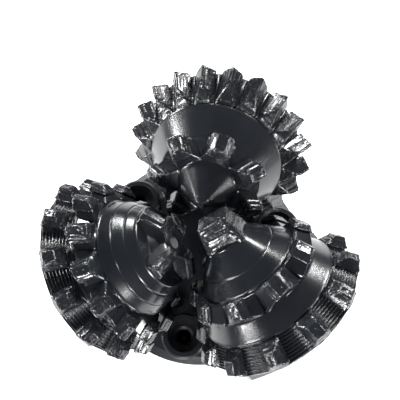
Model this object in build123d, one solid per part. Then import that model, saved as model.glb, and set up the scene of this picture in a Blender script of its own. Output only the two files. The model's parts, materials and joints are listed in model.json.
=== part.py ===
"""Tricone drill bit, 8 1/2 inch, steel-tooth cones, as separate pieces.

Millimetres. The origin is the centre of the pin's make-up shoulder. +Z runs up the bit axis
to the cones. Leg A is at +Y; legs B and C follow counter-clockwise seen from the cones.
A journal frame has its origin where the journal axis passes the bit axis, z out along the
journal from the cone's nose to the leg, and x up the face of the cone.
"""
from build123d import *
import os
from math import cos, hypot, radians, sin, tan

# ---- bit ---------------------------------------------------------------------------------
LEG_AZIMUTH = {"a": 90.0, "b": 210.0, "c": 330.0}
CROSSING_HEIGHT = 195.0      # shoulder to where the journal axes pass the bit axis
JOURNAL_ANGLE = 33.0         # journal axis below the horizontal
CONE_OFFSET = 5.35           # journal axis beside the bit axis, in the turning direction
LEG_RADIUS = 105.0           # outside of the legs, under the 107.95 gauge radius
FACE_GAP = 1.0               # leg face to cone back face

# ---- cones -------------------------------------------------------------------------------
BACK_FACE = 88.5             # distance of every cone's back face from the crossing
HARDFACING = 1.6             # thickness of the hard metal on the teeth
HEEL_STEP = 1.5              # teeth end this far before the back face

# each profile is (distance along the axis, radius), from the nose to the back face
CORE_A = [(14.4, 0), (14.4, 2.5), (36, 20.4), (44, 34.8), (63.6, 46.9), (64.6, 47.0),
          (65.4, 45.6), (87.0, 57.6), (BACK_FACE, 56.4)]
CORE_B = [(25, 0), (25, 5.0), (33, 18.0), (34, 27.0), (48, 36.5), (56, 40.5), (67, 49.6),
          (69, 47.4), (73.5, 47.4), (87.0, 58.4), (BACK_FACE, 57.2)]
CORE_C = [(19.5, 0), (19.5, 14.7), (42.5, 35.5), (56, 42.2), (69, 50.5), (70.2, 49.0),
          (87.0, 58.8), (BACK_FACE, 57.6)]

# a row of teeth: number, angle of the first, crest ends (distance, radius), height of the
# tooth above its sunk root, how far the root runs past the crest's ends, crest and root
# width, and the share of the height that the hard metal covers
ROWS_A = [
    dict(count=20, first=-3.0, crest=((69.2, 58.3), (79.4, 65.1)), height=12.0,
         ends=(14.0, 3.0), widths=(2.2, 16.0), cap=0.62),
    dict(count=7, first=5.0, crest=((33.2, 33.6), (38.6, 41.0)), height=12.0,
         ends=(10.8, -2.7), widths=(6.5, 23.0), cap=0.42),
]
ROWS_B = [
    dict(count=13, first=3.7, crest=((73.8, 60.2), (79.0, 64.4)), height=12.0,
         ends=(9.6, 2.8), widths=(6.0, 17.0), cap=0.55),
    dict(count=13, first=-10.1, crest=((57.5, 52.0), (64.5, 57.0)), height=10.0,
         ends=(9.0, -3.0), widths=(5.0, 22.0), cap=0.4),
    dict(count=4, first=45.0, crest=((22.0, 16.0), (28.5, 28.5)), height=11.0,
         ends=(12.0, 2.4), widths=(5.0, 18.0), cap=0.25),
]
ROWS_C = [
    dict(count=12, first=5.0, crest=((72.6, 59.4), (79.0, 64.4)), height=11.0,
         ends=(11.0, 3.0), widths=(6.5, 17.0), cap=0.55),
    dict(count=9, first=4.0, crest=((40.5, 42.5), (49.0, 48.4)), height=11.0,
         ends=(2.7, 3.3), widths=(7.0, 29.0), cap=0.25),
]
SPEAR_BASE = (23.0, 26.0)    # spearpoint of cone C at its root
SPEAR_TIP = (14.0, 19.0)
SPEAR_FROM = 27.0            # distance of its root from the crossing
SPEAR_TO = 4.0
SPEAR_TURN = 35.0            # angle of the spearpoint's blade about the cone's axis

# ---- bearing, as distances along the journal from the crossing ----------------------------
RUNNING = 0.05               # radial running clearance
PILOT_RADIUS = 17.0
PILOT_END = 41.6
PILOT_BUSH_WALL = 2.5
PILOT_BUSH_FROM = 41.3
BORE_END = 41.0
THRUST_FACE = 49.5
THRUST_WASHER = 2.0
LAND_RADIUS = 24.0
LAND_GAP = 1.0
BALL_RADIUS = 6.0
BALL_PITCH_RADIUS = 24.5
BALL_COUNT = 12
RACE_AT = 57.5
JOURNAL_RADIUS = 28.5
JOURNAL_FROM = 64.0
JOURNAL_BUSH_WALL = 3.5
JOURNAL_BUSH_FROM = 64.6
GLAND_FROM = 81.0
GLAND_TO = 87.0
SEAL_SECTION = 2.9           # radius of the seal's round section
SEAL_GAP = 0.1
MOUTH_GAP = 0.8

# ---- ball hole and plug --------------------------------------------------------------------
BALL_HOLE_RADIUS = 6.5
BALL_HOLE_DROP = 19.0        # ball hole's axis below the journal's, on the pin side
BALL_HOLE_END = 51.2
PLUG_GAP = 0.1
LUBE_HOLE_RADIUS = 3.0
LUBE_HOLE_AT = 108.0

# ---- grease reservoir, in the journal frame ------------------------------------------------
RESERVOIR_DROP = 58.0
RESERVOIR_RADIUS = 17.0
RESERVOIR_BOTTOM = 104.0
SHOULDER_FACE = 144.0        # sloping shoulder that the reservoir opens in
CANISTER_LENGTH = 24.0
CANISTER_WALL = 1.5
DIAPHRAGM_WALL = 1.6
DIAPHRAGM_DEPTH = 15.0
FLANGE = 2.0
CAP_THICKNESS = 8.0
RING_THICKNESS = 1.6
RING_DEPTH = 1.5             # how far a snap ring's groove goes into the wall
RING_WIDTH = 3.2
O_RING = 1.2                 # radius of the small seals' round section
SLIP = 0.1                   # radial gap round the parts in a pocket

# ---- nozzles ---------------------------------------------------------------------------------
NOZZLE_AZIMUTH = 65.0        # from its leg, in the turning direction
NOZZLE_AT = 66.0             # from the bit axis
BOSS_RADIUS = 17.5
BOSS_TOP = 96.0
POCKET_RADIUS = 12.7
POCKET_DEPTH = 26.0
NOZZLE_LENGTH = 20.0
NOZZLE_BORE = 5.55
NOZZLE_INLET = 9.0
PASSAGE_RADIUS = 8.5

# ---- body: shank, dome and pin -----------------------------------------------------------------
SEAM_AZIMUTH = -38.0         # first weld seam of a leg's third of the body
PIN_LENGTH = 107.95
PIN_BASE_RADIUS = 58.74      # 4 1/2 regular rotary connection
PIN_TAPER = 1.0 / 8.0        # radius per length
PIN_RELIEF = 12.7            # plain length between the shoulder and the thread
THREAD_DEPTH = 3.0           # the solids' pin is at the root of the thread
BORE_RADIUS = 28.575
BORE_TOP = 42.0
CAVITY_TOP = 58.0
SHOULDER_RADIUS = 67.45
SHANK_RADIUS = 73.0
SHANK_TOP = 43.0
BODY_RADIUS = 86.0
BODY_FROM = 62.0
BODY_TO = 76.0
DOME = [(80.0, 82.0), (70.0, 84.0), (40.0, 86.0), (18.0, 90.0), (0.0, 92.0)]
SLOT_DEPTH = 9.0
SLOT_FROM = 9.0
SLOT_TO = 38.0

# ---- leg's outline, seen from outside ---------------------------------------------------------
ARM_HALF_WIDTH = 42.0
ARM_LOW_HALF_WIDTH = 30.0
ARM_WIDE_FROM = 100.0
ARM_WIDE_TO = 120.0
SHIRTTAIL_RADIUS = 34.0
SHIRTTAIL_TOP = 186.0
CONE_CLEARANCE = 2.5

CONES = {"a": (CORE_A, ROWS_A), "b": (CORE_B, ROWS_B), "c": (CORE_C, ROWS_C)}
LEG_FACE = BACK_FACE + FACE_GAP


# ---- helpers ------------------------------------------------------------------------------
def journal_frame(azimuth=0.0):
    """Frame of the journal of the leg at this azimuth."""
    angle = radians(azimuth)
    slope = radians(JOURNAL_ANGLE)
    radial = Vector(cos(angle), sin(angle), 0)
    tangent = Vector(-sin(angle), cos(angle), 0)
    up = Vector(0, 0, 1)
    outward = radial * cos(slope) - up * sin(slope)
    face_up = radial * sin(slope) + up * cos(slope)
    origin = tangent * CONE_OFFSET + up * CROSSING_HEIGHT
    return Plane(origin=origin, x_dir=face_up, z_dir=outward)


def turned(points, arc=360.0, start=0.0):
    """Solid of revolution about Z of a closed outline of (radius, height) points."""
    outline = make_face(Plane.XZ * Polyline(*points, close=True))
    return revolve(Rot(0, 0, start) * outline, axis=Axis.Z, revolution_arc=arc)


def tube(inner, outer, low, high):
    """Ring about Z between two heights."""
    return turned([(inner, low), (outer, low), (outer, high), (inner, high)])


def rod(radius, low, high, at=(0.0, 0.0)):
    """Cylinder parallel to Z between two heights."""
    centre = Pos(at[0], at[1], (low + high) / 2)
    return centre * Cylinder(radius, high - low)


def split_ring(inner, outer, low, high, opening):
    """Snap ring: a ring with a gap towards +X."""
    gap = Pos(outer, 0, (low + high) / 2) * Box(outer * 1.4, opening, (high - low) * 2)
    return tube(inner, outer, low, high) - gap


def patterned(piece, count, first):
    """Copies of a piece about Z, as a list."""
    return [Rot(0, 0, first + index * 360.0 / count) * piece for index in range(count)]


def place(piece, azimuth):
    """Piece built for a leg at azimuth zero, turned to its own leg."""
    return Rot(0, 0, azimuth) * piece


def save(node, *pieces):
    """One STEP file per node; several pieces become a group of solids."""
    solids = []
    for piece in pieces:
        solids.extend(piece.solids())
    whole = solids[0] if len(solids) == 1 else Compound(children=solids)
    export_step(whole, "parts/" + node + ".step")


# ---- teeth ---------------------------------------------------------------------------------
def wedge(row, skin, low):
    """Tooth as the meeting of its side outline and its end outline.

    skin thickens it on every side and low is the depth under the crest where it stops.
    """
    (s0, r0), (s1, r1) = row["crest"]
    length = hypot(s1 - s0, r1 - r0)
    along = ((s1 - s0) / length, (r1 - r0) / length)
    down = (along[1], -along[0])
    first_flare = row["ends"][0] / row["height"]
    last_flare = row["ends"][1] / row["height"]
    flank = (row["widths"][1] - row["widths"][0]) / 2 / row["height"]

    def point(depth, run):
        s = s0 + along[0] * run + down[0] * depth
        r = r0 + along[1] * run + down[1] * depth
        return (r, s)

    def start(depth):
        return point(depth, -first_flare * depth - skin * hypot(1, first_flare))

    def finish(depth):
        return point(depth, length + last_flare * depth + skin * hypot(1, last_flare))

    def half(depth):
        return row["widths"][0] / 2 + flank * depth + skin * hypot(1, flank)

    side = make_face(Plane.XZ * Polyline(start(-skin), finish(-skin), finish(low), start(low),
                                         close=True))
    side = extrude(side, amount=row["widths"][1], both=True)
    across = Plane(origin=(r0, 0, s0), x_dir=(0, 1, 0), z_dir=(along[1], 0, along[0]))
    ends = make_face(across * Polyline((-half(-skin), -skin), (half(-skin), -skin),
                                       (half(low), low), (-half(low), low), close=True))
    ends = extrude(ends, amount=length + 3 * row["height"], both=True)
    return side & ends


def spear(skin):
    """Spearpoint blade, four-sided, tapering to its tip."""
    run = SPEAR_FROM - SPEAR_TO
    shapes = []
    for axis in (0, 1):
        base = SPEAR_BASE[axis] / 2
        tip = SPEAR_TIP[axis] / 2
        slope = (base - tip) / run
        low = tip - slope * skin + skin * hypot(1, slope)
        high = base + skin * hypot(1, slope)
        outline = make_face(Plane.XZ * Polyline((-low, SPEAR_TO - skin), (low, SPEAR_TO - skin),
                                                (high, SPEAR_FROM), (-high, SPEAR_FROM),
                                                close=True))
        shapes.append(Rot(0, 0, 90 * axis) * extrude(outline, amount=SPEAR_BASE[1], both=True))
    return Rot(0, 0, SPEAR_TURN) * (shapes[0] & shapes[1])


def cone_bore():
    """Everything that the bearing takes out of a cone."""
    pilot = PILOT_RADIUS + RUNNING + PILOT_BUSH_WALL
    thrust = THRUST_FACE - THRUST_WASHER - RUNNING
    land = LAND_RADIUS + LAND_GAP
    bush = JOURNAL_RADIUS + RUNNING + JOURNAL_BUSH_WALL
    gland = JOURNAL_RADIUS + 2 * SEAL_SECTION + 2 * SEAL_GAP
    mouth = JOURNAL_RADIUS + MOUTH_GAP
    past = BACK_FACE + 5
    bore = turned([(0, BORE_END), (pilot, BORE_END), (pilot, thrust), (land, thrust),
                   (land, JOURNAL_FROM), (bush, JOURNAL_FROM), (bush, GLAND_FROM),
                   (gland, GLAND_FROM), (gland, GLAND_TO), (mouth, GLAND_TO), (mouth, past),
                   (0, past)])
    race = Pos(0, 0, RACE_AT) * Torus(BALL_PITCH_RADIUS, BALL_RADIUS + RUNNING)
    return bore + race


def cone_and_hardfacing(core_points, rows, pointed):
    """One milled-tooth cone and the caps of hard metal on its teeth, in the journal frame."""
    core = turned([(r, s) for s, r in core_points] + [(0, BACK_FACE)])
    heel = Pos(0, 0, BACK_FACE - HEEL_STEP - 100) * Box(400, 400, 200)
    teeth = []
    caps = []
    for row in rows:
        tooth = wedge(row, 0.0, row["height"]) & heel
        cap = (wedge(row, HARDFACING, row["height"] * row["cap"]) & heel) - tooth - core
        teeth += patterned(tooth, row["count"], row["first"])
        caps += patterned(cap, row["count"], row["first"])
    if pointed:
        blade = spear(0.0)
        teeth.append(blade)
        reach = Pos(0, 0, SPEAR_TO) * Box(90, 90, 2 * (SPEAR_FROM - SPEAR_TO) * 0.72)
        caps.append((spear(HARDFACING) & reach) - blade - core)
    cone = core.fuse(*teeth)
    return cone - cone_bore(), caps


# ---- bearing pieces ------------------------------------------------------------------------
def bearing_pieces():
    """Bushings, washer, seal and balls, in the journal frame."""
    pilot_in = PILOT_RADIUS + RUNNING
    journal_in = JOURNAL_RADIUS + RUNNING
    thrust_low = THRUST_FACE - THRUST_WASHER
    pieces = {}
    pieces["pilot_bushing"] = tube(pilot_in, pilot_in + PILOT_BUSH_WALL, PILOT_BUSH_FROM,
                                   thrust_low - 2 * RUNNING)
    pieces["thrust_washer"] = tube(pilot_in + SLIP, LAND_RADIUS - SLIP, thrust_low,
                                   THRUST_FACE - RUNNING)
    pieces["journal_bushing"] = tube(journal_in, journal_in + JOURNAL_BUSH_WALL,
                                     JOURNAL_BUSH_FROM, GLAND_FROM - SLIP)
    seal_at = (GLAND_FROM + GLAND_TO) / 2
    seal_radius = JOURNAL_RADIUS + SEAL_GAP + SEAL_SECTION
    pieces["seal_ring"] = Pos(0, 0, seal_at) * Torus(seal_radius, SEAL_SECTION)
    return pieces


def retaining_balls():
    """Balls that lock the cone on its journal."""
    ball = Pos(BALL_PITCH_RADIUS, 0, RACE_AT) * Sphere(BALL_RADIUS)
    return patterned(ball, BALL_COUNT, 0.0)


def ball_plug():
    """Rod that closes the ball hole; its inner end completes the race."""
    length_to = (LEG_RADIUS + BALL_HOLE_DROP) / cos(radians(JOURNAL_ANGLE))
    plug = rod(BALL_HOLE_RADIUS - PLUG_GAP, BALL_HOLE_END, length_to + 20, (-BALL_HOLE_DROP, 0))
    race = Pos(0, 0, RACE_AT) * Torus(BALL_PITCH_RADIUS, BALL_RADIUS + RUNNING)
    over_land = tube(LAND_RADIUS, 2 * LAND_RADIUS, BALL_HOLE_END - 1, JOURNAL_FROM)
    inside = Cylinder(LEG_RADIUS - 0.5, 4 * CROSSING_HEIGHT)
    return (journal_frame() * (plug - race - over_land)) & inside


# ---- reservoir pieces ----------------------------------------------------------------------
def reservoir_pieces():
    """Canister, diaphragm, cap, its seal and its snap ring, about the reservoir's own axis."""
    outside = RESERVOIR_RADIUS - SLIP
    low = RESERVOIR_BOTTOM
    rim = low + CANISTER_LENGTH
    inner = outside - CANISTER_WALL
    cap_low = rim + FLANGE
    cap_high = cap_low + CAP_THICKNESS
    groove = RESERVOIR_RADIUS - 2 * O_RING - SLIP
    mid = (cap_low + cap_high) / 2
    pieces = {}
    pieces["reservoir_canister"] = turned([
        (LUBE_HOLE_RADIUS, low), (outside, low), (outside, rim), (inner, rim),
        (inner, low + CANISTER_WALL), (LUBE_HOLE_RADIUS, low + CANISTER_WALL)])
    cup = inner - SLIP
    cup_low = rim - DIAPHRAGM_DEPTH
    pieces["diaphragm"] = turned([
        (0, cup_low), (cup * 0.8, cup_low), (cup, cup_low + 3), (cup, rim), (outside, rim),
        (outside, cap_low), (cup - DIAPHRAGM_WALL, cap_low),
        (cup - DIAPHRAGM_WALL, cup_low + 3 + DIAPHRAGM_WALL / 2),
        (cup * 0.8 - DIAPHRAGM_WALL / 2, cup_low + DIAPHRAGM_WALL),
        (0, cup_low + DIAPHRAGM_WALL)])
    cap = turned([
        (0, cap_low), (outside, cap_low), (outside, mid - O_RING - SLIP),
        (groove, mid - O_RING - SLIP), (groove, mid + O_RING + SLIP),
        (outside, mid + O_RING + SLIP), (outside, cap_high), (0, cap_high)])
    vent = rod(2.0, cap_low - 1, cap_high + 1)
    grips = [rod(1.8, cap_high - 3, cap_high + 1, (x, 0)) for x in (-8.0, 8.0)]
    pieces["reservoir_cap"] = cap - vent - grips[0] - grips[1]
    ring_radius = groove + SLIP / 2 + O_RING
    pieces["cap_o_ring"] = Pos(0, 0, mid) * Torus(ring_radius, O_RING)
    ring_out = RESERVOIR_RADIUS + RING_DEPTH - SLIP
    pieces["cap_snap_ring"] = split_ring(ring_out - RING_WIDTH, ring_out, cap_high,
                                         cap_high + RING_THICKNESS, 7.0)
    return pieces


def ring_groove(radius, low):
    """Groove that a snap ring sits in."""
    return rod(radius + RING_DEPTH, low, low + RING_THICKNESS + SLIP)


def reservoir_pocket():
    """Pocket in the leg, in the journal frame."""
    cap_high = RESERVOIR_BOTTOM + CANISTER_LENGTH + FLANGE + CAP_THICKNESS
    pocket = rod(RESERVOIR_RADIUS, RESERVOIR_BOTTOM, SHOULDER_FACE + 30)
    pocket += ring_groove(RESERVOIR_RADIUS, cap_high)
    lube_length = RESERVOIR_DROP - BALL_HOLE_DROP
    tilt = Pos(lube_length / 2, 0, LUBE_HOLE_AT) * Rot(0, 90, 0)
    passage = tilt * Cylinder(LUBE_HOLE_RADIUS, lube_length)
    return Pos(-RESERVOIR_DROP, 0, 0) * (pocket + passage)


# ---- nozzle pieces -------------------------------------------------------------------------
def nozzle_pieces():
    """Nozzle, its seal and its snap ring, at azimuth zero of the leg."""
    seat = BOSS_TOP - POCKET_DEPTH
    top = seat + NOZZLE_LENGTH
    outside = POCKET_RADIUS - SLIP
    mid = seat + NOZZLE_LENGTH * 0.45
    groove = POCKET_RADIUS - 2 * O_RING - SLIP
    lip = O_RING + SLIP
    pieces = {}
    pieces["nozzle"] = turned([
        (NOZZLE_INLET, seat), (outside, seat), (outside, mid - lip), (groove, mid - lip),
        (groove, mid + lip), (outside, mid + lip), (outside, top), (NOZZLE_BORE + 2, top),
        (NOZZLE_BORE, top - 2), (NOZZLE_BORE, seat + NOZZLE_LENGTH * 0.5)])
    pieces["nozzle_o_ring"] = Pos(0, 0, mid) * Torus(groove + SLIP / 2 + O_RING, O_RING)
    ring_out = POCKET_RADIUS + RING_DEPTH - SLIP
    pieces["nozzle_snap_ring"] = split_ring(ring_out - RING_WIDTH, ring_out, top,
                                            top + RING_THICKNESS, 6.0)
    return {name: nozzle_spot() * piece for name, piece in pieces.items()}


def nozzle_spot():
    """Place of the nozzle's axis."""
    return Rot(0, 0, NOZZLE_AZIMUTH) * Pos(NOZZLE_AT, 0, 0)


def nozzle_pocket():
    """Pocket for the nozzle and the drilled passage from the central bore."""
    seat = BOSS_TOP - POCKET_DEPTH
    pocket = rod(POCKET_RADIUS, seat, BOSS_TOP + 40)
    pocket += ring_groove(POCKET_RADIUS, seat + NOZZLE_LENGTH)
    pocket = nozzle_spot() * pocket
    start = Vector(NOZZLE_AT, 0, seat + 1)
    end = Vector(0, 0, BORE_TOP - 4)
    way = end - start
    drill = Plane(origin=start + way * 0.5, z_dir=way) * Cylinder(PASSAGE_RADIUS, way.length)
    throat = Pos(NOZZLE_AT, 0, seat - 2) * Sphere(PASSAGE_RADIUS)
    return pocket + Rot(0, 0, NOZZLE_AZIMUTH) * (drill + throat)


# ---- leg -----------------------------------------------------------------------------------
def body_third():
    """A third of the shank, dome and pin, between two weld seams."""
    end = PIN_BASE_RADIUS - PIN_LENGTH * PIN_TAPER - THREAD_DEPTH
    relief = PIN_BASE_RADIUS - PIN_RELIEF * PIN_TAPER - THREAD_DEPTH
    bevel = SHANK_RADIUS - SHOULDER_RADIUS
    points = [(BORE_RADIUS + 1.5, -PIN_LENGTH), (end - 1.5, -PIN_LENGTH),
              (end, -PIN_LENGTH + 1.5), (relief, -PIN_RELIEF), (relief, 0),
              (SHOULDER_RADIUS, 0), (SHANK_RADIUS, bevel), (SHANK_RADIUS, SHANK_TOP),
              (BODY_RADIUS, BODY_FROM), (BODY_RADIUS, BODY_TO)]
    points += DOME
    points += [(0, CAVITY_TOP), (BORE_RADIUS * 0.4, CAVITY_TOP), (BORE_RADIUS, BORE_TOP),
               (BORE_RADIUS, -PIN_LENGTH + 1.5)]
    return turned(points, arc=120.0, start=SEAM_AZIMUTH)


def third_space():
    """Space between the two seam planes of a leg."""
    reach = LEG_RADIUS * 1.3
    low = -PIN_LENGTH - 20
    high = CROSSING_HEIGHT + 60
    return turned([(0, low), (reach, low), (reach, high), (0, high)], 120.0, SEAM_AZIMUTH)


def arm():
    """Leg from the sloping shoulder to the tip of the shirttail."""
    centre = SHIRTTAIL_TOP - SHIRTTAIL_RADIUS
    tip = Pos(CONE_OFFSET, centre) * Circle(SHIRTTAIL_RADIUS)
    low = ARM_LOW_HALF_WIDTH
    wide = ARM_HALF_WIDTH
    blade = Polygon((-low, SHANK_TOP), (low, SHANK_TOP), (wide, ARM_WIDE_FROM),
                    (wide, ARM_WIDE_TO), (-wide, ARM_WIDE_TO), (-wide, ARM_WIDE_FROM), align=None)
    outline = make_hull(tip.edges() + blade.edges())
    block = extrude(Plane.YZ * outline, amount=LEG_RADIUS + 10)
    thick = SHOULDER_FACE - LEG_FACE
    slab = Pos(0, 0, LEG_FACE + thick / 2) * Box(500, 500, thick)
    barrel = Cylinder(LEG_RADIUS, 4 * CROSSING_HEIGHT)
    return block & barrel & (journal_frame() * slab)


def cone_sweep():
    """Space that a turning cone needs, in the journal frame."""
    gap = CONE_CLEARANCE
    return turned([(0, 5), (18, 8), (36, 18), (47 + gap, 32), (54 + gap, 44),
                   (61 + gap, 58), (67.6 + gap, 72), (67.6 + gap, 84), (62 + gap, LEG_FACE - 0.01),
                   (0, LEG_FACE - 0.01)])


def journal():
    """Bearing pin of the leg, in the journal frame."""
    pin = turned([(0, PILOT_END), (PILOT_RADIUS - 1.0, PILOT_END),
                  (PILOT_RADIUS, PILOT_END + 1.0), (PILOT_RADIUS, THRUST_FACE),
                  (LAND_RADIUS, THRUST_FACE), (LAND_RADIUS, JOURNAL_FROM),
                  (JOURNAL_RADIUS, JOURNAL_FROM), (JOURNAL_RADIUS, LEG_FACE + 6),
                  (0, LEG_FACE + 6)])
    return pin - Pos(0, 0, RACE_AT) * Torus(BALL_PITCH_RADIUS, BALL_RADIUS + RUNNING)


def leg():
    """One leg with its third of the body, its journal and its nozzle boss."""
    boss = rod(BOSS_RADIUS, BODY_FROM, BOSS_TOP)
    boss = chamfer(boss.edges().sort_by(Axis.Z)[-1], 1.5)
    solid = body_third() + arm() + nozzle_spot() * boss
    solid = solid & third_space()
    for turn in (0, 120, -120):
        solid = solid - journal_frame(turn) * cone_sweep()
    solid = solid + journal_frame() * journal()
    ball_hole = rod(BALL_HOLE_RADIUS, BALL_HOLE_END, SHOULDER_FACE + 60, (-BALL_HOLE_DROP, 0))
    solid = solid - journal_frame() * (ball_hole + reservoir_pocket())
    slot_depth_at = SHANK_RADIUS - SLOT_DEPTH
    slot = Pos(slot_depth_at + 20, 0, (SLOT_FROM + SLOT_TO) / 2) * Box(
        40, 4 * SHANK_RADIUS, SLOT_TO - SLOT_FROM)
    solid = solid - nozzle_pocket()
    return solid - Rot(0, 0, SEAM_AZIMUTH + 60) * slot


# ---- all pieces ----------------------------------------------------------------------------
def build():
    os.makedirs("parts", exist_ok=True)
    one_leg = leg()
    plug = ball_plug()
    bearings = bearing_pieces()
    balls = retaining_balls()
    reservoir = reservoir_pieces()
    nozzle = nozzle_pieces()
    reservoir_axis = journal_frame() * Pos(-RESERVOIR_DROP, 0, 0)
    for name, azimuth in LEG_AZIMUTH.items():
        own = journal_frame(azimuth)
        save("leg_" + name, place(one_leg, azimuth))
        save("ball_plug_" + name, place(plug, azimuth))
        for kind, piece in bearings.items():
            save(kind + "_" + name, own * piece)
        save("retaining_balls_" + name, *[own * ball for ball in balls])
        for kind, piece in reservoir.items():
            save(kind + "_" + name, place(reservoir_axis * piece, azimuth))
        for kind, piece in nozzle.items():
            save(kind + "_" + name, place(piece, azimuth))
        core, rows = CONES[name]
        cone, caps = cone_and_hardfacing(core, rows, name == "c")
        save("cone_" + name, own * cone)
        save("hardfacing_" + name, *[own * cap for cap in caps])


build()
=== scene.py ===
"""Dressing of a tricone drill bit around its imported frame.

Lengths in this file are millimetres until the last step, which turns them to metres. A cone's
own frame has z out along its journal, x up its face, and its origin where the journal axis
passes the bit axis. A profile point is (distance along the journal, radius).
"""
import bpy
import json
import math
import numpy as np
from mathutils import Matrix, Vector


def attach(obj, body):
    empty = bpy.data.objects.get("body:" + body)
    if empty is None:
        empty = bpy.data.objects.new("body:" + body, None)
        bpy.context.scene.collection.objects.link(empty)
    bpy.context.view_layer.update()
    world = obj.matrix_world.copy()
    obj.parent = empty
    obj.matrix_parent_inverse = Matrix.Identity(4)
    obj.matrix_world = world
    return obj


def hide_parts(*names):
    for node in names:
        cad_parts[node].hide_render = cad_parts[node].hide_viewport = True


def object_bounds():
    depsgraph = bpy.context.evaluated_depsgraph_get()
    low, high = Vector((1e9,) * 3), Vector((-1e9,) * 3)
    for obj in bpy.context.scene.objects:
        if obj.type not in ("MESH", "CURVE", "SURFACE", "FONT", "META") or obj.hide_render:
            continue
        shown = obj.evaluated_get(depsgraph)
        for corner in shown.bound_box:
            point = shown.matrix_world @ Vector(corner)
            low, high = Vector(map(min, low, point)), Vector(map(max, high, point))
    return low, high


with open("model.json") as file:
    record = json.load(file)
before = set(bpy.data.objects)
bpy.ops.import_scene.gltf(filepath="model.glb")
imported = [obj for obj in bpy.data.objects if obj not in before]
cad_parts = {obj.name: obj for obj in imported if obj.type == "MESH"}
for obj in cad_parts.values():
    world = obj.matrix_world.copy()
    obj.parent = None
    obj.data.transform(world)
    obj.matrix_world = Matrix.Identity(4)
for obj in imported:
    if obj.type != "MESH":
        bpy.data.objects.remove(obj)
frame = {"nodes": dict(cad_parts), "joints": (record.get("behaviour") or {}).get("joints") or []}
cad_low, cad_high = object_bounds()
nodes = frame["nodes"]

# ---- sizes shared with the solids ---------------------------------------------------------
SKIN = 1.6                      # thickness of the spearpoint's hard metal
COAT = 1.2                      # thickness of the hard metal on the teeth
BACK_FACE = 88.5
LEG_RADIUS = 105.0
SHIRTTAIL = (5.35, 152.0, 34.0)  # sideways, height, radius of the shirttail's round tip
PIN_LENGTH = 107.95
PIN_RELIEF = 12.7
PIN_BASE_RADIUS = 58.74
THREAD_PITCH = 5.08
THREAD_DEPTH = 3.0
SEAM_AZIMUTH = -38.0

CONES = {
    "a": dict(
        core=[(14.4, 0), (14.4, 2.5), (36, 20.4), (44, 34.8), (63.6, 46.9), (64.6, 47.0),
              (65.4, 45.6), (87.0, 57.6), (88.5, 56.4)],
        rows=[dict(count=20, first=-3.0, crest=((70.6, 59.2), (82.2, 67.0)), height=12.0,
                   ends=(15.0, -2.2), widths=(2.2, 16.0), cap=0.7, floor=(65.6, 87.0),
                   peak=2.2, scoop=0.5, ribs=0.0, bars=((66.0, 46.2), (86.4, 57.5))),
              dict(count=7, first=5.0, crest=((33.2, 33.6), (38.6, 41.0)), height=12.0,
                   ends=(10.8, -2.7), widths=(6.5, 23.0), cap=0.42, floor=(36.5, 43.5), peak=0.3,
                   scoop=1.0, ribs=0.0)],
        scribes=[18.0], beads=[64.3]),
    "b": dict(
        core=[(25, 0), (25, 5.0), (33, 18.0), (34, 27.0), (48, 36.5), (56, 40.5), (67, 49.6),
              (69, 47.4), (73.5, 47.4), (87.0, 58.4), (88.5, 57.2)],
        rows=[dict(count=13, first=3.7, crest=((73.8, 60.2), (79.0, 64.4)), height=12.0,
                   ends=(9.6, 2.8), widths=(6.0, 17.0), cap=0.55, floor=(72.0, 87.0), peak=0.3,
                   scoop=3.2, ribs=0.5),
              dict(count=13, first=-10.1, crest=((57.5, 52.0), (64.5, 57.0)), height=10.0,
                   ends=(9.0, -3.0), widths=(5.0, 22.0), cap=0.4, floor=(56.5, 67.5), peak=0.3,
                   scoop=1.2, ribs=0.0),
              dict(count=4, first=45.0, crest=((22.0, 16.0), (28.5, 28.5)), height=11.0,
                   ends=(12.0, 2.4), widths=(5.0, 18.0), cap=0.25, floor=(26.0, 33.0), peak=0.3,
                   scoop=0.6, ribs=0.0)],
        scribes=[41.0, 48.0], beads=[34.6, 55.6, 66.8]),
    "c": dict(
        core=[(19.5, 0), (19.5, 14.7), (42.5, 35.5), (56, 42.2), (69, 50.5), (70.2, 49.0),
              (87.0, 58.8), (88.5, 57.6)],
        rows=[dict(count=12, first=5.0, crest=((72.6, 59.4), (79.0, 64.4)), height=11.0,
                   ends=(11.0, 3.0), widths=(6.5, 17.0), cap=0.55, floor=(70.8, 87.0), peak=0.3,
                   scoop=3.0, ribs=0.5),
              dict(count=9, first=4.0, crest=((40.5, 42.5), (49.0, 48.4)), height=11.0,
                   ends=(2.7, 3.3), widths=(7.0, 29.0), cap=0.25, floor=(43.0, 56.0), peak=0.3,
                   scoop=1.0, ribs=0.0)],
        scribes=[33.0], beads=[42.3, 56.2, 68.8]),
}
RIB_PITCH = 2.1
SPEAR = dict(base=(23.0, 26.0), tip=(14.0, 19.0), root=27.0, top=4.0, turn=35.0)


# ---- mesh helpers -------------------------------------------------------------------------
def cone_frame(letter):
    """Origin and axes (x up the face, y, z out) of a cone, from its spin joint, in mm."""
    joint = next(j for j in frame["joints"] if j["name"] == "cone_%s_spin" % letter)
    out = np.array(joint["axis"], float)
    out /= np.linalg.norm(out)
    flat = np.array([out[0], out[1], 0.0])
    flat /= np.linalg.norm(flat)
    side = np.array([-flat[1], flat[0], 0.0])
    up = np.cross(out, side)
    return np.array(joint["pos_m"]) * 1000.0, np.stack([up, -side, out])


def from_cone(points, letter):
    """Points of a cone's own frame in the bit's frame."""
    origin, axes = cone_frame(letter)
    return points @ axes + origin


def grid_faces(rows, columns, wrap=True):
    """Quads of a grid of rows by columns, closed round its columns when wrap is set."""
    r = np.arange(rows - 1)[:, None]
    c = np.arange(columns if wrap else columns - 1)[None, :]
    n = (c + 1) % columns
    quads = np.stack([r * columns + c, r * columns + n, (r + 1) * columns + n,
                      (r + 1) * columns + c], axis=-1)
    return quads.reshape(-1, 4)


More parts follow.
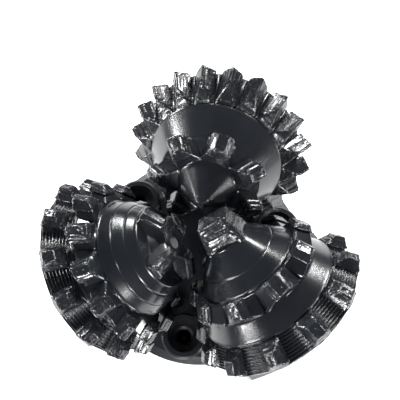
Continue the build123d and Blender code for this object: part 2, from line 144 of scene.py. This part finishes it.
class Shell:
    """Collects grids and fans of one piece and writes them as one mesh."""

    def __init__(self):
        self.points = []
        self.faces = []
        self.total = 0
        self.uv = []

    def add(self, points, faces, uv=None):
        points = np.asarray(points, float).reshape(-1, 3)
        self.points.append(points)
        self.faces.extend([[int(i) + self.total for i in f] for f in faces])
        self.uv.append(np.zeros((len(points), 2)) if uv is None else np.asarray(uv).reshape(-1, 2))
        self.total += len(points)

    def piece(self, name, body, material, smooth=True):
        mesh = bpy.data.meshes.new(name)
        points = np.concatenate(self.points) / 1000.0
        mesh.from_pydata(points.tolist(), [], self.faces)
        layer = mesh.uv_layers.new(name="turned")
        corner = np.empty(len(mesh.loops), np.int32)
        mesh.loops.foreach_get("vertex_index", corner)
        layer.data.foreach_set("uv", np.concatenate(self.uv)[corner].ravel())
        mesh.polygons.foreach_set("use_smooth", np.full(len(mesh.polygons), smooth))
        mesh.materials.append(material)
        mesh.update()
        thing = bpy.data.objects.new(name, mesh)
        bpy.context.scene.collection.objects.link(thing)
        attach(thing, body)
        return thing


def capped(shell, loops, uv=None):
    """Adds a stack of closed loops (rows x columns x 3), with a fan over each end."""
    rows, columns = loops.shape[:2]
    first = loops[0].mean(axis=0)
    last = loops[-1].mean(axis=0)
    points = np.concatenate([loops.reshape(-1, 3), [first], [last]])
    faces = grid_faces(rows, columns).tolist()
    low, high = rows * columns, rows * columns + 1
    for c in range(columns):
        n = (c + 1) % columns
        faces.append([low, n, c])
        faces.append([high, (rows - 1) * columns + c, (rows - 1) * columns + n])
    if uv is not None:
        uv = np.concatenate([uv.reshape(-1, 2), uv[0, :1], uv[-1, :1]])
    shell.add(points, faces, uv)


def grain(points, size, seed):
    """Smooth random field from -1 to 1: random values on a cube lattice, eased between."""
    table = np.random.default_rng(seed).random((24, 24, 24)) * 2.0 - 1.0
    cell = points / size
    low = np.floor(cell).astype(int)
    part = cell - low
    part = part * part * (3.0 - 2.0 * part)
    total = np.zeros(points.shape[:-1])
    for dx in (0, 1):
        for dy in (0, 1):
            for dz in (0, 1):
                weight = (np.abs(1 - dx - part[..., 0]) * np.abs(1 - dy - part[..., 1])
                          * np.abs(1 - dz - part[..., 2]))
                total += weight * table[(low[..., 0] + dx) % 24, (low[..., 1] + dy) % 24,
                                        (low[..., 2] + dz) % 24]
    return total


def loop_normals(loops):
    """Outward normals of a stack of loops, from its differences both ways."""
    around = np.roll(loops, -1, axis=1) - np.roll(loops, 1, axis=1)
    along = np.gradient(loops, axis=0)
    normal = np.cross(around, along)
    return normal / np.maximum(np.linalg.norm(normal, axis=-1, keepdims=True), 1e-9)


def turned_about_z(points, degrees):
    """Points turned about Z."""
    a = math.radians(degrees)
    m = np.array([[math.cos(a), -math.sin(a), 0], [math.sin(a), math.cos(a), 0], [0, 0, 1]])
    return points @ m.T


# ---- cone bodies --------------------------------------------------------------------------
def rounded_profile(points, radius, step, fine):
    """Polyline with each inner corner eased by a parabola.

    It is sampled about every step within the fine ranges, and every fourth step outside them.
    """
    points = np.array(points, float)
    line = [points[0]]
    for before, here, after in zip(points[:-2], points[1:-1], points[2:]):
        back = before - here
        on = after - here
        reach = min(radius, 0.45 * np.linalg.norm(back), 0.45 * np.linalg.norm(on))
        start = here + back / np.linalg.norm(back) * reach
        finish = here + on / np.linalg.norm(on) * reach
        for t in (0.0, 0.25, 0.5, 0.75, 1.0):
            line.append((1 - t) ** 2 * start + 2 * t * (1 - t) * here + t * t * finish)
    line.append(points[-1])
    line = np.array(line)
    lengths = np.r_[0, np.cumsum(np.hypot(*np.diff(line, axis=0).T))]
    at = np.linspace(0, lengths[-1], int(lengths[-1] / step))
    place = np.interp(at, lengths, line[:, 0])
    keep = np.arange(len(at)) % 4 == 0
    for low, high in fine:
        keep |= (place > low - 0.5) & (place < high + 0.5)
    at = np.union1d(at[keep], lengths)
    return np.stack([np.interp(at, lengths, line[:, 0]), np.interp(at, lengths, line[:, 1])], 1), at


def cone_skin(shell, spec, letter):
    """Turned and milled skin of a cone.

    Surface of revolution of the core profile. Along each row the floor falls between the
    teeth by a raised cosine with one lobe a tooth, and where the row is ribbed it carries
    a wave along the profile. Scribed lines are narrow dips of the profile.
    """
    fine = [row["floor"] for row in spec["rows"] if row["ribs"]]
    fine += [(at, at) for at in spec["scribes"] + spec["beads"]]
    profile, length = rounded_profile(spec["core"], 0.5, 0.25, fine)
    tangent = np.gradient(profile, axis=0)
    tangent /= np.maximum(np.hypot(*tangent.T)[:, None], 1e-9)
    normal = np.stack([-tangent[:, 1], tangent[:, 0]], axis=1)
    angle = np.linspace(0, 2 * math.pi, 420, endpoint=False)
    lift = np.zeros((len(profile), len(angle)))
    for row in spec["rows"]:
        low, high = row["floor"]
        inside = 1 / (1 + np.exp(-(profile[:, 0] - low) / 0.35))
        inside *= 1 / (1 + np.exp((profile[:, 0] - high) / 0.25))
        lobes = 0.5 + 0.5 * np.cos(row["count"] * (angle - math.radians(row["first"])))
        lift += inside[:, None] * (row["scoop"] * (lobes ** 1.3 - 0.12))[None, :]
        if row["ribs"]:
            wave = np.cos(length * 2 * math.pi / RIB_PITCH)
            lift += (inside * row["ribs"] * wave)[:, None]
    for at in spec["scribes"]:
        lift -= 0.22 * np.exp(-((profile[:, 0] - at) / 0.22) ** 2)[:, None]
    for at in spec["beads"]:
        lift += 0.3 * np.exp(-((profile[:, 0] - at) / 0.35) ** 2)[:, None]
    lift *= (profile[:, 1] > 3.0)[:, None]
    s = profile[:, 0][:, None] + normal[:, 0][:, None] * lift
    r = profile[:, 1][:, None] + normal[:, 1][:, None] * lift
    r = np.maximum(r, 0.05)
    loops = np.stack([r * np.cos(angle), r * np.sin(angle), s + 0 * r], axis=-1)
    uv = np.stack(np.broadcast_arrays(angle[None, :] / (2 * math.pi), length[:, None] / 100), -1)
    capped(shell, from_cone(loops[:, ::-1], letter), uv[:, ::-1])


def tooth_loops(row, skin, depths, insets, columns, power):
    """Rounded four-sided loops of one tooth at the angle zero.

    At a depth under the crest the tooth is a rounded rectangle, as long as the crest with its
    end flares and as wide as its flanks have opened; skin moves every side out, and an inset
    moves it in.
    """
    (s0, r0), (s1, r1) = row["crest"]
    run = math.hypot(s1 - s0, r1 - r0)
    along = np.array([(s1 - s0) / run, (r1 - r0) / run])
    down = np.array([along[1], -along[0]])
    flare0 = row["ends"][0] / row["height"]
    flare1 = row["ends"][1] / row["height"]
    flank = (row["widths"][1] - row["widths"][0]) / 2 / row["height"]
    d = np.asarray(depths, float)[:, None]
    i = np.asarray(insets, float)[:, None]
    start = -flare0 * d - skin * math.hypot(1, flare0)
    finish = run + flare1 * d + skin * math.hypot(1, flare1)
    half_run = np.maximum((finish - start) / 2 - i, 0.02)
    half_width = np.maximum(row["widths"][0] / 2 + flank * d + skin * math.hypot(1, flank) - i,
                            0.02)
    middle = (start + finish) / 2
    turn = np.linspace(0, 2 * math.pi, columns, endpoint=False) + 0.01
    c, n = np.cos(turn)[None, :], np.sin(turn)[None, :]
    round_c = np.sign(c) * np.abs(c) ** (2 / power)
    round_n = np.sign(n) * np.abs(n) ** (2 / power)
    along_run = middle + half_run * round_c
    y = half_width * round_n
    s = s0 + along[0] * along_run + down[0] * d
    r = r0 + along[1] * along_run + down[1] * d
    return np.stack([r, y, s], axis=-1)


def gullet_bars(shell, row, letter):
    """Raised half-round bar along the floor between each two teeth of a row."""
    (s0, r0), (s1, r1) = row["bars"]
    t = np.array([0.0, 0.01, 0.04, 0.5, 0.96, 0.99, 1.0])[:, None]
    size = np.array([0.1, 0.7, 1.0, 1.0, 1.0, 0.7, 0.1])[:, None]
    turn = np.linspace(0, 2 * math.pi, 18, endpoint=False)[None, :]
    run = math.hypot(s1 - s0, r1 - r0)
    rise = 1.5 * size * np.sign(np.sin(turn)) * np.abs(np.sin(turn)) ** 0.5
    s = s0 + (s1 - s0) * t - (r1 - r0) / run * rise
    r = r0 + (r1 - r0) * t + (s1 - s0) / run * rise
    y = 1.0 * size * np.sign(np.cos(turn)) * np.abs(np.cos(turn)) ** 0.5
    bar = np.stack(np.broadcast_arrays(r, y, s), axis=-1)
    for k in range(row["count"]):
        at = row["first"] + (k + 0.5) * 360.0 / row["count"]
        capped(shell, from_cone(turned_about_z(bar[::-1], at), letter))


def steel_tooth(row):
    """Milled tooth, from its sunk root to its crest, with eased edges."""
    height = row["height"]
    depths = [height, height * 0.8, height * 0.5, height * 0.25, 0.8, 0.3, 0.0, 0.0]
    insets = [0, 0, 0, 0, 0, 0.15, 0.6, 1.6]
    return tooth_loops(row, 0.0, depths, insets, 40, 9.0)


def weld_cap(row, seed):
    """Hard metal over one tooth: loops with a rolled lower lip, lumped and grained.

    Three random fields move the surface along its normal: broad lumps, weld grains and
    fine grit.
    """
    low = row["height"] * row["cap"]
    rise = np.linspace(low - 0.4, -COAT + 0.5, 17)
    depths = np.r_[low - 0.2, low, low + 0.1, rise, -COAT + 0.2, -COAT + 0.05, -COAT,
                   -COAT, -COAT, -COAT]
    insets = np.r_[2.0, 1.0, 0.3, row["peak"] * np.linspace(0, 1, 17) ** 1.5,
                   row["peak"] + np.array([0.1, 0.3, 0.7, 1.3, 2.2, 3.2])]
    loops = tooth_loops(row, COAT, depths, insets, 96, 12.0)
    normals = loop_normals(loops)
    place = loops + np.array([seed * 7.3, seed * 3.1, seed * 5.7])
    ridge = 1.0 - 2.0 * np.abs(grain(place, 1.9, 5))
    move = 0.35 * grain(place, 5.0, 3) + 0.3 * ridge + 0.16 * grain(place, 0.95, 7) - 0.15
    return loops + normals * move[..., None]


def spear_loops(depths, insets, skin, columns, power):
    """Rounded four-sided loops of the spearpoint from its root to its tip."""
    t = (np.asarray(depths, float) - SPEAR["root"]) / (SPEAR["top"] - SPEAR["root"])
    halves = []
    for base, tip in zip(SPEAR["base"], SPEAR["tip"]):
        halves.append((base + (tip - base) * t) / 2 + skin - np.asarray(insets, float))
    turn = np.linspace(0, 2 * math.pi, columns, endpoint=False) + 0.01
    c = np.sign(np.cos(turn)) * np.abs(np.cos(turn)) ** (2 / power)
    n = np.sign(np.sin(turn)) * np.abs(np.sin(turn)) ** (2 / power)
    x = np.maximum(halves[0], 0.02)[:, None] * c
    y = np.maximum(halves[1], 0.02)[:, None] * n
    z = np.broadcast_to(np.asarray(depths, float)[:, None], x.shape)
    return turned_about_z(np.stack([x, y, z], axis=-1), SPEAR["turn"])


def build_cone(letter, paint, hard):
    """Skin and teeth of one cone, and the hard metal on them."""
    spec = CONES[letter]
    body = Shell()
    metal = Shell()
    cone_skin(body, spec, letter)
    for number, row in enumerate(spec["rows"]):
        if "bars" in row:
            gullet_bars(body, row, letter)
        tooth = steel_tooth(row)
        for k in range(row["count"]):
            turn = row["first"] + k * 360.0 / row["count"]
            capped(body, from_cone(turned_about_z(tooth, turn), letter))
            cap = weld_cap(row, number * 40 + k + 1)
            capped(metal, from_cone(turned_about_z(cap, turn), letter))
    if letter == "c":
        steel = spear_loops([SPEAR["root"], 10, 3, SPEAR["top"] + 0.4, SPEAR["top"]],
                            [0, 0, 0, 0.2, 0.8], 0.0, 40, 9.0)
        capped(body, from_cone(steel, letter))
        depths = np.r_[SPEAR["root"] - 5, SPEAR["root"] - 5.2,
                       np.linspace(SPEAR["root"] - 6, SPEAR["top"] - 0.8, 34),
                       SPEAR["top"] - 1.3, SPEAR["top"] - 1.6, SPEAR["top"] - 1.6,
                       SPEAR["top"] - 1.6, SPEAR["top"] - 1.6]
        insets = np.r_[1.5, 0.6, np.zeros(34), 0.2, 0.7, 1.6, 2.6, 3.8]
        loops = spear_loops(depths, insets, SKIN, 130, 10.0)
        normals = loop_normals(loops)
        move = (0.6 * grain(loops, 6.5, 3) + 0.3 * (1 - 2 * np.abs(grain(loops, 1.9, 5)))
                + 0.15 * grain(loops, 0.95, 7) - 0.2)
        capped(metal, from_cone(loops + normals * move[..., None], letter))
    cone = body.piece("milled_cone_" + letter, "cone_" + letter, paint)
    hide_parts("cone_" + letter)
    weld = metal.piece("tooth_hardfacing_" + letter, "cone_" + letter, hard)
    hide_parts("hardfacing_" + letter)


# ---- pin thread, seams and shirttail metal ----------------------------------------------------
def pin_thread(paint):
    """Tapered thread on the pin: radius is the taper plus a flat-topped wave.

    The wave's phase falls by one pitch in each turn, so it is one right-hand helix. Its
    height fades at both ends.
    """
    angle = np.linspace(0, 2 * math.pi, 160, endpoint=False)
    height = np.linspace(-PIN_LENGTH + 3.0, -PIN_RELIEF + 1.0, 230)
    phase = (height[:, None] + THREAD_PITCH * angle[None, :] / (2 * math.pi)) / THREAD_PITCH
    wave = np.abs(2 * (phase % 1.0) - 1)
    wave = np.clip((wave - 0.16) / 0.68, 0, 1)
    fade = np.clip((height + PIN_LENGTH - 3.0) / 5, 0, 1) * np.clip((-PIN_RELIEF + 1 - height) / 3,
                                                                     0, 1)
    root = PIN_BASE_RADIUS + height / 8 - THREAD_DEPTH
    r = root[:, None] - 0.15 + (THREAD_DEPTH * fade)[:, None] * wave
    outer = np.stack([r * np.cos(angle), r * np.sin(angle), height[:, None] + 0 * r], axis=-1)
    r_in = np.broadcast_to((root - 1.5)[::-1][:, None], r.shape)
    z_in = np.broadcast_to(height[::-1][:, None], r.shape)
    inner = np.stack([r_in * np.cos(angle), r_in * np.sin(angle), z_in], axis=-1)[::20]
    loops = np.concatenate([outer, inner, outer[:1]])
    shell = Shell()
    shell.add(loops, grid_faces(len(loops), len(angle)))
    shell.piece("pin_thread", "bit_body", paint)


def weld_seams(paint):
    """Three weld beads along the seams: a half-round strip with a rippled back."""
    route = np.array([(73.0, 6.5), (73.0, 43.0), (86.0, 62.0), (86.0, 76.0), (80.0, 82.0),
                      (70.0, 84.0), (60.0, 84.7)])
    lengths = np.r_[0, np.cumsum(np.hypot(*np.diff(route, axis=0).T))]
    at = np.linspace(0, lengths[-1], 260)
    r = np.interp(at, lengths, route[:, 0])
    z = np.interp(at, lengths, route[:, 1])
    across = np.linspace(0, 2 * math.pi, 14, endpoint=False)
    ripple = 1.0 + 0.12 * np.cos(at * 2 * math.pi / 1.7)
    tangent = np.gradient(np.stack([r, z], 1), axis=0)
    tangent /= np.hypot(*tangent.T)[:, None]
    normal = np.stack([tangent[:, 1], -tangent[:, 0]], axis=1)
    shell = Shell()
    for k in range(3):
        a = math.radians(90 + SEAM_AZIMUTH + 120 * k)
        side = 2.4 * np.cos(across)[None, :] + 0 * ripple[:, None]
        rise = 0.7 * np.sin(across)[None, :] * ripple[:, None]
        rr = r[:, None] + normal[:, 0][:, None] * rise
        zz = z[:, None] + normal[:, 1][:, None] * rise
        x = rr * math.cos(a) - side * math.sin(a)
        y = rr * math.sin(a) + side * math.cos(a)
        capped(shell, np.stack([x, y, zz], axis=-1)[:, ::-1])
    shell.piece("seam_welds", "bit_body", paint)


def shirttail_metal(hard):
    """Band of weld metal round each shirttail, laid on the leg's outside.

    A band between two arcs about the tip's centre, wrapped on the leg's cylinder, with a
    domed and grained face.
    """
    side0, height0, radius = SHIRTTAIL
    angle = np.linspace(math.radians(-12), math.radians(192), 190)
    width = np.linspace(0, 1, 26)
    shell = Shell()
    for k, azimuth in enumerate((90.0, 210.0, 330.0)):
        reach = radius - 1.2 - 9.0 * width[None, :]
        side = side0 + reach * np.cos(angle)[:, None]
        height = height0 + reach * np.sin(angle)[:, None]
        flat = np.stack([side, height, 0 * side + k * 40], axis=-1)
        dome = np.sin(width * math.pi)[None, :] ** 0.35 * np.sin(
            np.linspace(0.02, math.pi - 0.02, len(angle)))[:, None] ** 0.1
        rough = 0.35 * grain(flat, 1.9, 11) + 0.2 * grain(flat, 0.9, 12)
        out = LEG_RADIUS - 0.6 + dome * (1.5 + rough)
        top = np.stack([np.sqrt(out ** 2 - side ** 2), side, height], axis=-1)
        inn = LEG_RADIUS - 1.6
        base = np.stack([np.sqrt(inn ** 2 - side ** 2), side, height], axis=-1)
        loops = np.concatenate([top, base[:, ::-1]], axis=1)
        capped(shell, turned_about_z(loops, azimuth))
    shell.piece("shirttail_hardfacing", "bit_body", hard)


# ---- materials ----------------------------------------------------------------------------
def new_material(name, colour, rough, metallic=0.0, coat=0.0):
    """Principled material with its plain values set on the sockets."""
    mat = bpy.data.materials.new(name)
    mat.use_nodes = True
    shader = mat.node_tree.nodes["Principled BSDF"]
    shader.inputs["Base Color"].default_value = (*colour, 1)
    shader.inputs["Roughness"].default_value = rough
    shader.inputs["Metallic"].default_value = metallic
    shader.inputs["Coat Weight"].default_value = coat
    shader.inputs["Coat Roughness"].default_value = 0.08
    return mat, mat.node_tree, shader


def add_noise(tree, coordinate, scale, detail, stretch=None):
    """Noise texture read from Object coordinates or the turned map."""
    source = tree.nodes.new("ShaderNodeTexCoord")
    texture = tree.nodes.new("ShaderNodeTexNoise")
    texture.inputs["Scale"].default_value = scale
    texture.inputs["Detail"].default_value = detail
    if stretch:
        mapping = tree.nodes.new("ShaderNodeMapping")
        mapping.inputs["Scale"].default_value = stretch
        tree.links.new(source.outputs[coordinate], mapping.inputs["Vector"])
        tree.links.new(mapping.outputs["Vector"], texture.inputs["Vector"])
    else:
        tree.links.new(source.outputs[coordinate], texture.inputs["Vector"])
    return texture


def add_bump(tree, shader, texture, strength, distance, before=None):
    """Bump from a texture's value, after an earlier bump if there is one."""
    bump = tree.nodes.new("ShaderNodeBump")
    bump.inputs["Strength"].default_value = strength
    bump.inputs["Distance"].default_value = distance
    tree.links.new(texture.outputs["Fac"], bump.inputs["Height"])
    if before:
        tree.links.new(before.outputs["Normal"], bump.inputs["Normal"])
    tree.links.new(bump.outputs["Normal"], shader.inputs["Normal"])
    return bump


def ramp_between(tree, texture, low, high, target):
    """Number that runs from low to high as the texture's value does from 0.3 to 0.7."""
    scale = tree.nodes.new("ShaderNodeMapRange")
    scale.inputs["From Min"].default_value = 0.3
    scale.inputs["From Max"].default_value = 0.7
    scale.inputs["To Min"].default_value = low
    scale.inputs["To Max"].default_value = high
    tree.links.new(texture.outputs["Fac"], scale.inputs["Value"])
    tree.links.new(scale.outputs["Result"], target)


def black_enamel():
    """Gloss black enamel over turned steel: fine turning lines and a faint sprayed skin."""
    mat, tree, shader = new_material("black_enamel", (0.008, 0.0095, 0.0125), 0.26, coat=0.35)
    lines = add_noise(tree, "UV", 60.0, 3.0, (0.4, 60.0, 1.0))
    skin = add_noise(tree, "Object", 420.0, 2.0)
    cloud = add_noise(tree, "Object", 38.0, 3.0)
    first = add_bump(tree, shader, lines, 0.10, 0.0002)
    add_bump(tree, shader, skin, 0.06, 0.0003, first)
    ramp_between(tree, cloud, 0.17, 0.27, shader.inputs["Roughness"])
    return mat


def forged_enamel():
    """Gloss black enamel over a forging: slow waves and a faint sprayed skin."""
    mat, tree, shader = new_material("forged_enamel", (0.008, 0.0095, 0.0125), 0.28, coat=0.35)
    wave = add_noise(tree, "Object", 60.0, 3.0)
    skin = add_noise(tree, "Object", 420.0, 2.0)
    first = add_bump(tree, shader, wave, 0.12, 0.0006)
    add_bump(tree, shader, skin, 0.08, 0.0003, first)
    ramp_between(tree, wave, 0.24, 0.36, shader.inputs["Roughness"])
    return mat


def grained_enamel():
    """Gloss black enamel over rough weld metal."""
    mat, tree, shader = new_material("grained_enamel", (0.010, 0.0115, 0.0145), 0.24, coat=0.4)
    grit = add_noise(tree, "Object", 900.0, 4.0)
    pits = add_noise(tree, "Object", 350.0, 2.0)
    first = add_bump(tree, shader, pits, 0.5, 0.0006)
    add_bump(tree, shader, grit, 0.35, 0.0003, first)
    ramp_between(tree, pits, 0.18, 0.34, shader.inputs["Roughness"])
    return mat


def bare_metal(name, colour, rough, grain_scale=500.0):
    """Machined metal with fine random marks."""
    mat, tree, shader = new_material(name, colour, rough, metallic=1.0)
    marks = add_noise(tree, "Object", grain_scale, 4.0)
    add_bump(tree, shader, marks, 0.08, 0.0002)
    ramp_between(tree, marks, rough * 0.8, rough * 1.3, shader.inputs["Roughness"])
    return mat


def black_rubber():
    """Satin black rubber with a fine moulded grain."""
    mat, tree, shader = new_material("black_rubber", (0.02, 0.02, 0.02), 0.55)
    grainy = add_noise(tree, "Object", 700.0, 3.0)
    add_bump(tree, shader, grainy, 0.15, 0.0002)
    ramp_between(tree, grainy, 0.48, 0.62, shader.inputs["Roughness"])
    return mat


def dress_solids(enamel):
    """Finishes of the pieces that keep their solids."""
    steel = bare_metal("spring_steel", (0.05, 0.05, 0.055), 0.45)
    ball_steel = bare_metal("bearing_steel", (0.62, 0.62, 0.64), 0.14)
    bronze = bare_metal("bushing_bronze", (0.55, 0.36, 0.16), 0.3)
    carbide = bare_metal("carbide", (0.035, 0.035, 0.038), 0.5)
    plated = bare_metal("plated_steel", (0.45, 0.45, 0.47), 0.3)
    rubber = black_rubber()
    finishes = {"leg": enamel, "reservoir_cap": enamel, "ball_plug": enamel, "nozzle": carbide,
                "cap_snap_ring": steel, "nozzle_snap_ring": steel, "retaining_balls": ball_steel,
                "journal_bushing": bronze, "pilot_bushing": bronze, "thrust_washer": bronze,
                "reservoir_canister": plated, "diaphragm": rubber, "seal_ring": rubber,
                "cap_o_ring": rubber, "nozzle_o_ring": rubber}
    for name, thing in nodes.items():
        kind = name.rsplit("_", 1)[0]
        if kind in finishes:
            for place in thing.material_slots:
                place.material = finishes[kind]


# ---- stage --------------------------------------------------------------------------------
# azimuth and elevation in degrees, width and height in metres, power in watts
STRIPS = [
    (170.0, 13.0, (0.07, 0.34), 8.0),
    (114.0, 24.0, (0.07, 0.34), 6.0),
    (66.0, 25.0, (0.07, 0.34), 9.0),
    (88.0, 37.0, (0.06, 0.16), 1.5),
    (0.0, 8.0, (0.07, 0.34), 3.5),
    (-133.0, 22.0, (0.07, 0.34), 5.0),
    (-75.0, 16.0, (0.24, 0.24), 12.0),
    (-165.0, 4.0, (0.20, 0.20), 4.0),
    (-20.0, 4.0, (0.20, 0.20), 4.0),
]
LIGHT_REACH = 1.0


def strip_light(name, azimuth, elevation, size, power):
    """Strip light low beside the cones, aimed at their middle."""
    a, e = math.radians(azimuth), math.radians(elevation)
    middle = Vector((0, 0, 0.18))
    toward = Vector((math.cos(a) * math.cos(e), math.sin(a) * math.cos(e), math.sin(e)))
    lamp = bpy.data.lights.new(name, "AREA")
    lamp.shape = "RECTANGLE"
    lamp.size, lamp.size_y = size
    lamp.energy = power
    thing = bpy.data.objects.new(name, lamp)
    thing.location = middle + toward * LIGHT_REACH
    thing.rotation_mode = "QUATERNION"
    thing.rotation_quaternion = (-toward).to_track_quat("-Z", "Y")
    bpy.context.scene.collection.objects.link(thing)


def floor_and_world():
    """White floor that keeps a soft shadow, and a pale world."""
    mesh = bpy.data.meshes.new("floor")
    z = cad_low.z - 0.0002
    mesh.from_pydata([(-4, -4, z), (4, -4, z), (4, 4, z), (-4, 4, z)], [], [(0, 1, 2, 3)])
    floor = bpy.data.objects.new("floor", mesh)
    bpy.context.scene.collection.objects.link(floor)
    mat = bpy.data.materials.new("white_floor")
    mat.use_nodes = True
    tree = mat.node_tree
    shader = tree.nodes["Principled BSDF"]
    shader.inputs["Base Color"].default_value = (0.86, 0.86, 0.86, 1)
    shader.inputs["Roughness"].default_value = 0.9
    glow = tree.nodes.new("ShaderNodeEmission")
    glow.inputs["Strength"].default_value = 0.88
    both = tree.nodes.new("ShaderNodeAddShader")
    mix = tree.nodes.new("ShaderNodeMixShader")
    path = tree.nodes.new("ShaderNodeLightPath")
    tree.links.new(shader.outputs[0], both.inputs[0])
    tree.links.new(glow.outputs[0], both.inputs[1])
    tree.links.new(path.outputs["Is Camera Ray"], mix.inputs[0])
    tree.links.new(shader.outputs[0], mix.inputs[1])
    tree.links.new(both.outputs[0], mix.inputs[2])
    tree.links.new(mix.outputs[0], tree.nodes["Material Output"].inputs["Surface"])
    mesh.materials.append(mat)
    world = bpy.data.worlds.new("studio")
    world.use_nodes = True
    world.node_tree.nodes["Background"].inputs["Color"].default_value = (0.9, 0.93, 1, 1)
    tree = world.node_tree
    path = tree.nodes.new("ShaderNodeLightPath")
    level = tree.nodes.new("ShaderNodeMapRange")
    level.inputs["To Min"].default_value = 0.15
    level.inputs["To Max"].default_value = 1.1
    tree.links.new(path.outputs["Is Camera Ray"], level.inputs["Value"])
    tree.links.new(level.outputs["Result"], tree.nodes["Background"].inputs["Strength"])
    bpy.context.scene.world = world


def camera():
    """Camera above the cones, a little in front of the bit axis."""
    data = bpy.data.cameras.new("camera")
    data.lens = 56.5
    data.sensor_width = 36.0
    data.shift_x = -0.0078
    data.shift_y = 0.0537
    thing = bpy.data.objects.new("camera", data)
    back = Vector((0.0465, -0.2482, 0.9676)).normalized()
    right = Vector((0.9621, 0.2719, 0.0235))
    right = (right - back * right.dot(back)).normalized()
    up = back.cross(right)
    turn = Matrix((right, up, back)).transposed()
    thing.matrix_world = Matrix.Translation((0.01871, -0.0998, 0.58426)) @ turn.to_4x4()
    bpy.context.scene.collection.objects.link(thing)
    bpy.context.scene.camera = thing


# ---- build --------------------------------------------------------------------------------
enamel = black_enamel()
forged = forged_enamel()
hard_metal = grained_enamel()
for cone_letter in "abc":
    build_cone(cone_letter, enamel, hard_metal)
pin_thread(forged)
weld_seams(forged)
shirttail_metal(hard_metal)
dress_solids(forged)
floor_and_world()
for number, (azimuth, elevation, size, power) in enumerate(STRIPS):
    strip_light("strip_%d" % number, azimuth, elevation, size, power)
camera()
bpy.context.scene.view_settings.view_transform = "Standard"
